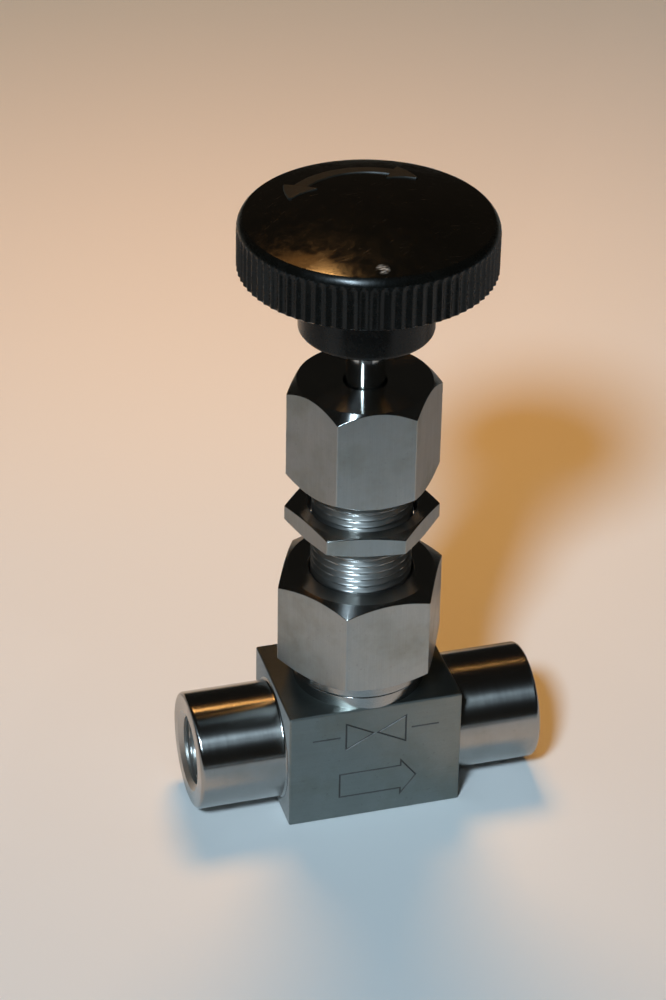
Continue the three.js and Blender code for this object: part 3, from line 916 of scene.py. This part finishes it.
def lower_stem():
    """The needle's holder: a cup for the ball and the clip, and a slot on each side for a pin."""
    low, high = box_mm("lower_stem")
    radius, cup, cup_floor = high[1], 2.8, 36.4
    spigot, spigot_bottom = 2.0, 25.0
    groove_radius, groove_bottom, groove_top = 3.5, 40.8, 41.8
    corners = [
        (0, spigot_bottom),
        (spigot, spigot_bottom, 0.2),
        (spigot, low[2], 0.15),
        (radius, low[2], 0.35),
        (radius, high[2], 0.3),
        (cup, high[2], 0.2),
        (cup, groove_top),
        (groove_radius, groove_top, 0.05),
        (groove_radius, groove_bottom, 0.05),
        (cup, groove_bottom),
        (cup, cup_floor + 0.4, 0.2),
        (0, cup_floor),
    ]
    obj = revolve("lower_stem_visual", circle(96), corners, [POLISHED])
    slot_bottom, slot_top, half_width, floor, depth = 26.36, 34.91, 1.1, 2.85, 3.0
    for side in (-1, 1):
        middle = side * (floor + depth / 2)
        work = cube(
            (middle - depth / 2, -half_width, slot_bottom),
            (middle + depth / 2, half_width, slot_top),
        )
        combine(obj, object_from(work, "slot", [POLISHED]), CUT)
    settle(obj, "lower_stem")


def needle_tip():
    """The cone that closes the seat, under a shank that is pressed into the lower stem."""
    low, high = box_mm("needle_tip")
    point, shank, shank_top, peg = 0.6, high[1], 21.0, 1.7
    cone_slope = (15.95 - 13.2) / (2.2 - 0.6)
    cone_top = low[2] + (shank - point) * cone_slope
    corners = [
        (0, low[2]),
        (point, low[2], 0.3),
        (shank, cone_top, 0.3),
        (shank, shank_top, 0.25),
        (peg, shank_top, 0.15),
        (peg, high[2], 0.3),
        (0, high[2]),
    ]
    turned_part("needle_tip", corners, POLISHED)


def thrust_ball():
    low, high = box_mm("thrust_ball")
    radius, middle = high[0], (low[2] + high[2]) / 2
    arc = np.linspace(-math.pi / 2, math.pi / 2, 33)
    corners = [(radius * math.cos(a), middle + radius * math.sin(a), 0, 0) for a in arc]
    corners[0] = (0, low[2], 0, 0)
    corners[-1] = (0, high[2], 0, 0)
    turned_part("thrust_ball", corners, POLISHED, facets=64)


def stem_clip():
    """A split ring: a round-cornered section swept most of the way round the stem."""
    low, high = box_mm("stem_clip")
    inner, outer, fillet = 1.95, high[1], 0.1
    half_gap = math.radians(24)
    corners = [
        (inner, low[2], fillet),
        (outer, low[2], fillet),
        (outer, high[2], fillet),
        (inner, high[2], fillet),
    ]
    section = outline(corners, count=1, steps=3)[0][0]
    middle = math.pi if abs(low[0]) < abs(high[0]) else 0.0
    angles = np.linspace(middle + half_gap, middle + TURN - half_gap, 72)
    points = [(r * math.cos(a), r * math.sin(a), z) for a in angles for r, z in section]
    # The section runs anticlockwise, so each face is read the other way round.
    faces = [(face[0], *face[:0:-1]) for face in swept_faces(len(angles), len(section))]
    obj = make_object("stem_clip_visual", points, faces, [BONNET_TURNED])
    settle(obj, "stem_clip")


# ---- Stem and knob ----


def stem():
    """The rod with its thread, the button that the clip holds, and a flat for the set screw."""
    angles = circle(96)
    low, high = box_mm("stem")
    radius, button, neck = 3.175, 2.45, 1.6
    crest, root = high[1], 3.3
    button_top, neck_top, thread_bottom, thread_top = 40.7, 42.1, 43.5, 53.8
    flat_turn = math.radians(SET_SCREW["turn"])
    flat_depth, flat_half, flat_edge = 0.4, 3.5, 0.05
    toward = np.cos(angles - flat_turn)
    floor = (radius - flat_depth) / np.maximum(toward, 0.5)
    flat = np.where(toward > 0.5, np.minimum(radius, floor), radius)
    middle = SET_SCREW["height"]
    corners = [
        (0, low[2]),
        (button, low[2], 0.15),
        (button, button_top, 0.1),
        (neck, button_top, 0.1),
        (neck, neck_top, 0.1),
        (button, neck_top, 0.15),
        (button, thread_bottom - 0.1, 0.1),
        *thread(angles, thread_bottom, thread_top, crest, root),
        (radius, thread_top + 0.2),
        (radius, middle - flat_half),
        (flat, middle - flat_half + flat_edge),
        (flat, middle + flat_half - flat_edge),
        (radius, middle + flat_half),
        (radius, high[2], 0.4),
        (0, high[2]),
    ]
    obj = revolve("stem_visual", angles, corners, [POLISHED])
    settle(obj, "stem")


IS_SATIN, IS_GLOSSY, IS_WORN = range(3)


def dome_height(radius):
    """Height of the knob's top at a distance from its axis: part of a sphere."""
    sweep = math.radians(RIM["sweep"])
    edge_radius = KNOB_RADIUS - RIM["arc"] * (1 - math.cos(sweep))
    edge_height = RIM["edge"] + RIM["arc"] * math.sin(sweep)
    rise = top_of("knob") - edge_height
    sphere = (edge_radius**2 + rise**2) / (2 * rise)
    return float(edge_height + rise - sphere + np.sqrt(sphere**2 - radius**2))


def knob_corners(angles):
    """The knob's outline, from the top of its socket outwards and over to the middle of its dome."""
    socket, insert_top = box_mm("knob_insert")[1][0] + 0.04, top_of("knob_insert") + 0.1
    count, flute_end = FLUTES["count"], FLUTES["end"]
    groove = FLUTES["depth"] * (0.5 - 0.5 * np.cos(count * angles)) ** 0.75
    sweep, arc, edge = math.radians(RIM["sweep"]), RIM["arc"], RIM["edge"]
    rows = [
        (0, insert_top),
        (socket, insert_top, 0.2),
        (socket, HUB["bottom"], 0.35),
        (HUB["radius"], HUB["bottom"], 0.9),
        (HUB["top_radius"], RIM["recess"], 0.8),
        (RIM["lip"], RIM["recess"], 0.8),
        (RIM["lip"] + 0.2, RIM["bottom"], 0.4),
        (KNOB_RADIUS - 0.6, RIM["bottom"], 0.1),
    ]
    # The flutes grow shallower above their fade height and run out on the rounded edge.
    runout = np.linspace(FLUTES["fade"], flute_end, 9)
    for height in [RIM["bottom"] + 0.35, 101.9, 104.4, *runout]:
        share = math.sqrt(min(1.0, (flute_end - height) / (flute_end - FLUTES["fade"])))
        curve = arc - math.sqrt(arc**2 - max(0.0, height - edge) ** 2)
        radius = KNOB_RADIUS - curve - share * np.maximum(0, groove - curve)
        rows.append((radius, height))
    start = math.asin((flute_end - edge) / arc)
    for turn in np.linspace(start, sweep, 9)[1:]:
        radius = KNOB_RADIUS - arc * (1 - math.cos(turn))
        rows.append((radius, edge + arc * math.sin(turn)))
    edge_radius = KNOB_RADIUS - arc * (1 - math.cos(sweep))
    rows[-1] = (edge_radius, edge + arc * math.sin(sweep), 0.08, IS_GLOSSY)
    for share in (0.985, 0.95, 0.9, 0.83, 0.75, 0.65, 0.55, 0.44, 0.33, 0.22, 0.12, 0.05):
        radius = edge_radius * share
        rows.append((radius, dome_height(radius), 0, IS_GLOSSY))
    rows.append((0, dome_height(0.0), 0, IS_GLOSSY))
    return rows


def turn_arrow():
    """A raised double-headed arrow that curves round the back of the dome."""
    track, half_band, half_head, half_tip = 12.6, 1.25, 3.0, 0.25
    middle, reach, head = math.radians(95), math.radians(58), math.radians(20)
    widening = (0.33, 0.66, 1.0)
    inner = reach - head * 1.02
    stations = [
        (-reach, half_tip),
        *((-reach + head * s, half_head * s + 0.1) for s in widening),
        *((s, half_band) for s in np.linspace(-inner, inner, 40)),
        *((reach - head * s, half_head * s + 0.1) for s in reversed(widening)),
        (reach, half_tip),
    ]
    points = []
    for along, half in stations:
        angle = middle - along
        left = [(-half - 0.08, -0.3), (-half - 0.06, 0.05), (-half + 0.08, 0.24), (-half + 0.22, 0.28)]
        section = left + [(-offset, lift) for offset, lift in reversed(left)]
        for offset, lift in section:
            radius = track + offset
            x, y = radius * math.cos(angle), radius * math.sin(angle)
            points.append((x, y, dome_height(radius) + lift))
    faces = swept_faces(len(stations), len(section))
    obj = make_object("arrow", points, faces, KNOB_BLACKS, [IS_WORN] * len(faces))
    face_outwards(obj)
    return obj


def screw_hole(radius, materials):
    """A cutter for the set screw's hole through the side of the hub."""
    place = along_x(z=SET_SCREW["height"], turn=SET_SCREW["turn"])
    return rod_cutter(radius, 2.0, HUB["top_radius"] + 1, materials, place)


def knob():
    """The fluted knob, with a hole for the set screw and the arrow on its dome."""
    angles = circle(FLUTES["count"] * 12)
    obj = revolve("knob_visual", angles, knob_corners(angles), KNOB_BLACKS, material=IS_SATIN)
    combine(obj, screw_hole(SET_SCREW["radius"] + 0.1, KNOB_BLACKS), CUT)
    combine(obj, turn_arrow(), JOIN)
    settle(obj, "knob", sharp=32.0)


def knob_insert():
    """The brass core of the knob, bored for the stem and cross bored for the set screw."""
    low, high = box_mm("knob_insert")
    radius, bore, bore_top = high[1], 3.3, 99.2
    corners = [
        (0, bore_top),
        (bore, bore_top, 0.3),
        (bore, low[2], 0.3),
        (radius, low[2], 0.3),
        (radius, high[2], 0.3),
        (0, high[2]),
    ]
    obj = revolve("knob_insert_visual", circle(96), corners, [BRASS])
    combine(obj, screw_hole(SET_SCREW["radius"] + 0.05, [BRASS]), CUT)
    settle(obj, "knob_insert")


def set_screw():
    """A screw without a head, with a hexagonal socket in its outer end."""
    angles = circle(72)
    inner, outer, radius = 3.5, 9.6, SET_SCREW["radius"]
    point, pitch, thread_depth = 1.1, 0.79, 0.35
    socket_floor, across = outer - 2.2, 2.0
    sector = (angles + TURN / 12) % (TURN / 6) - TURN / 12
    hexagonal = across / 2 / np.cos(sector)
    corners = [
        (0, inner),
        (point, inner, 0.1),
        (radius - 0.05, inner + 0.7, 0.1),
        *thread(angles, inner + 0.8, outer - 0.3, radius, radius - thread_depth, pitch, per_pitch=10),
        (radius - 0.3, outer, 0.1),
        (hexagonal + 0.12, outer),
        (hexagonal, outer - 0.12),
        (hexagonal, socket_floor),
        (0, socket_floor - 0.5),
    ]
    place = along_x(z=SET_SCREW["height"], turn=SET_SCREW["turn"])
    obj = revolve("set_screw_visual", angles, corners, [OXIDE], place=place)
    settle(obj, "set_screw")


valve_body()
bonnet()
hex_nut("union_nut", union_bore, collar=1.75)
hex_nut("panel_nut", panel_bore)
hex_nut("packing_nut", packing_bore)
bonnet_gasket()
packing_washer()
packing_rings()
packing_gland()
guide_pins()
lower_stem()
needle_tip()
thrust_ball()
stem_clip()
stem()
knob()
knob_insert()
set_screw()

# ---- Floor, light and camera ----


def paper_floor():
    """White paper with a painted pool of warm lamp light behind the valve."""
    shader = Shader("paper")
    half = 4500.0
    fibre = shader.noise(shader.place, 900.0, 4.0)
    cloud = shader.noise(shader.place, 6.0, 2.0)
    near = shader.mix(cloud, (0.76, 0.76, 0.75), (0.81, 0.81, 0.8))
    behind = shader.node("SeparateXYZ", {0: shader.place}).outputs["Y"]
    # Painted warm lamp light: the paper's colour turns warmer behind the valve.
    base = shader.mix(shader.remap(behind, 0.08, 0.32), near, (0.95, 0.77, 0.59))
    shader.set(Base_Color=base, Roughness=0.75)
    shader.bump(fibre, 0.1, 0.05 * MM)
    corners = [(-half, -half, 0), (half, -half, 0), (half, half, 0), (-half, half, 0)]
    floor = make_object("floor", corners, [(0, 1, 2, 3)], [shader.material])


def backdrop():
    """A pale glow that lies over the outer floor and curves up to a wall, seen by the camera alone.

    It fades in with distance from the valve, and its profile is (distance, height).
    """
    shader = Shader("backdrop")
    _, distance, _ = shader.around("Z")
    shader.set(Base_Color=(0.0, 0.0, 0.0, 1.0), Roughness=1.0)
    shader.set(Alpha=shader.remap(distance, 0.36, 1.1))
    shader.set(Emission_Color=(0.55, 0.5, 0.44, 1.0), Emission_Strength=1.0)
    profile = [(360, 0.6), (1500, 0.6), (2600, 30), (3400, 300), (3900, 1100), (4000, 4000)]
    angles = circle(64)
    points = [(r * math.cos(a), r * math.sin(a), z) for a in angles for r, z in profile]
    size = len(profile)
    faces = []
    for k in range(len(angles)):
        here, there = k * size, (k + 1) % len(angles) * size
        faces += [(here + i, there + i, there + i + 1, here + i + 1) for i in range(size - 1)]
    wall = make_object("backdrop", points, faces, [shader.material])
    wall.visible_diffuse = False
    wall.visible_glossy = False
    wall.visible_shadow = False


CENTRE = (cad_box[0] + cad_box[1]) / 2


def soft_light(name, direction, distance, diameter, power, colour, lights=("diffuse", "glossy")):
    """A round soft light that faces the valve from the given direction, in metres.

    lights says which kinds of reflection it takes part in.
    """
    light = bpy.data.lights.new(name, "AREA")
    light.shape = "DISK"
    light.size = diameter
    light.energy = power
    light.color = colour
    lamp = add_object(name, light)
    towards = Vector(direction).normalized()
    lamp.location = CENTRE + towards * distance
    lamp.rotation_mode = "QUATERNION"
    lamp.rotation_quaternion = towards.to_track_quat("Z", "Y")
    lamp.visible_camera = False
    lamp.visible_diffuse = "diffuse" in lights
    lamp.visible_glossy = "glossy" in lights


def lights():
    """A cool key in front and a small warm lamp close behind, each with its own reflections."""
    cool, warm = (0.65, 0.85, 1.0), (1.0, 0.5, 0.14)
    warm_core, warm_glow = (1.0, 0.52, 0.17), (1.0, 0.42, 0.1)
    soft_light("key", (-0.41, -0.60, 0.68), 1.6, 0.26, 22.0, cool)
    soft_light("back", (0.10, 0.56, 0.82), 0.28, 0.11, 0.62, warm, ["diffuse"])
    soft_light("key_low", (-0.36, -0.63, 0.49), 1.6, 0.16, 7.0, cool, ["glossy"])
    soft_light("back_core", (-0.012, 0.454, 0.891), 0.6, 0.07, 0.32, warm_core, ["glossy"])
    soft_light("back_glow", (-0.097, 0.51, 0.855), 0.6, 0.18, 0.14, warm_glow, ["glossy"])
    world = bpy.data.worlds.new("room")
    world.use_nodes = True
    background = world.node_tree.nodes["Background"]
    background.inputs["Color"].default_value = (0.015, 0.014, 0.012, 1.0)
    bpy.context.scene.world = world


def card(name, middle, spread, near, far, shade):
    """A card on the floor, seen only in reflections, as a studio flag is: it paints a darker reflection
    of the floor into the metal.

    It spans the angles middle - spread to middle + spread, in degrees round the valve, and
    the distances near to far.
    """
    shader = Shader(name)
    shader.set(Base_Color=(shade, shade, shade, 1.0), Roughness=0.8)
    height, count = 0.5, 13
    angles = np.radians(np.linspace(middle - spread, middle + spread, count))
    points = [(r * math.cos(a), r * math.sin(a), height) for r in (near, far) for a in angles]
    faces = [(k, k + count, k + count + 1, k + 1) for k in range(count - 1)]
    obj = make_object(name, points, faces, [shader.material])
    obj.visible_camera = False
    obj.visible_diffuse = False
    obj.visible_shadow = False


def camera():
    """A long lens from the left and above, aimed a little left of the stem and half way up."""
    azimuth, elevation, roll = (math.radians(v) for v in (-16.491, 32.575, 1.052))
    distance, aim_left, aim_height = 0.5456, 5.0, 56.9
    flat = math.cos(elevation)
    back = Vector((math.sin(azimuth) * flat, -math.cos(azimuth) * flat, math.sin(elevation)))
    right = (-back).cross(Vector((0, 0, 1))).normalized()
    up = right.cross(-back)
    across = right * math.cos(roll) + up * math.sin(roll)
    upward = up * math.cos(roll) - right * math.sin(roll)
    target = Vector((CENTRE.x - aim_left * MM, CENTRE.y, cad_box[0].z + aim_height * MM))
    data = bpy.data.cameras.new("camera")
    data.lens = 120.34
    data.sensor_width = 36.0
    data.clip_start = 0.01
    view = add_object("camera", data)
    turned = Matrix((across, upward, back)).transposed().to_4x4()
    view.matrix_world = Matrix.Translation(target + back * distance) @ turned
    bpy.context.scene.camera = view


paper_floor()
backdrop()
# Painted reflections: these cards darken the floor seen in the metal, and the right one is painted shade
# for floor in the valve's shadow.
card("front_card", -106.5, 40.0, 135.0, 620.0, 0.05)
card("right_card", 35.0, 28.0, 60.0, 420.0, 0.32)
card("left_card", 155.0, 28.0, 60.0, 420.0, 0.45)
lights()
camera()
bpy.context.scene.view_settings.view_transform = "Standard"
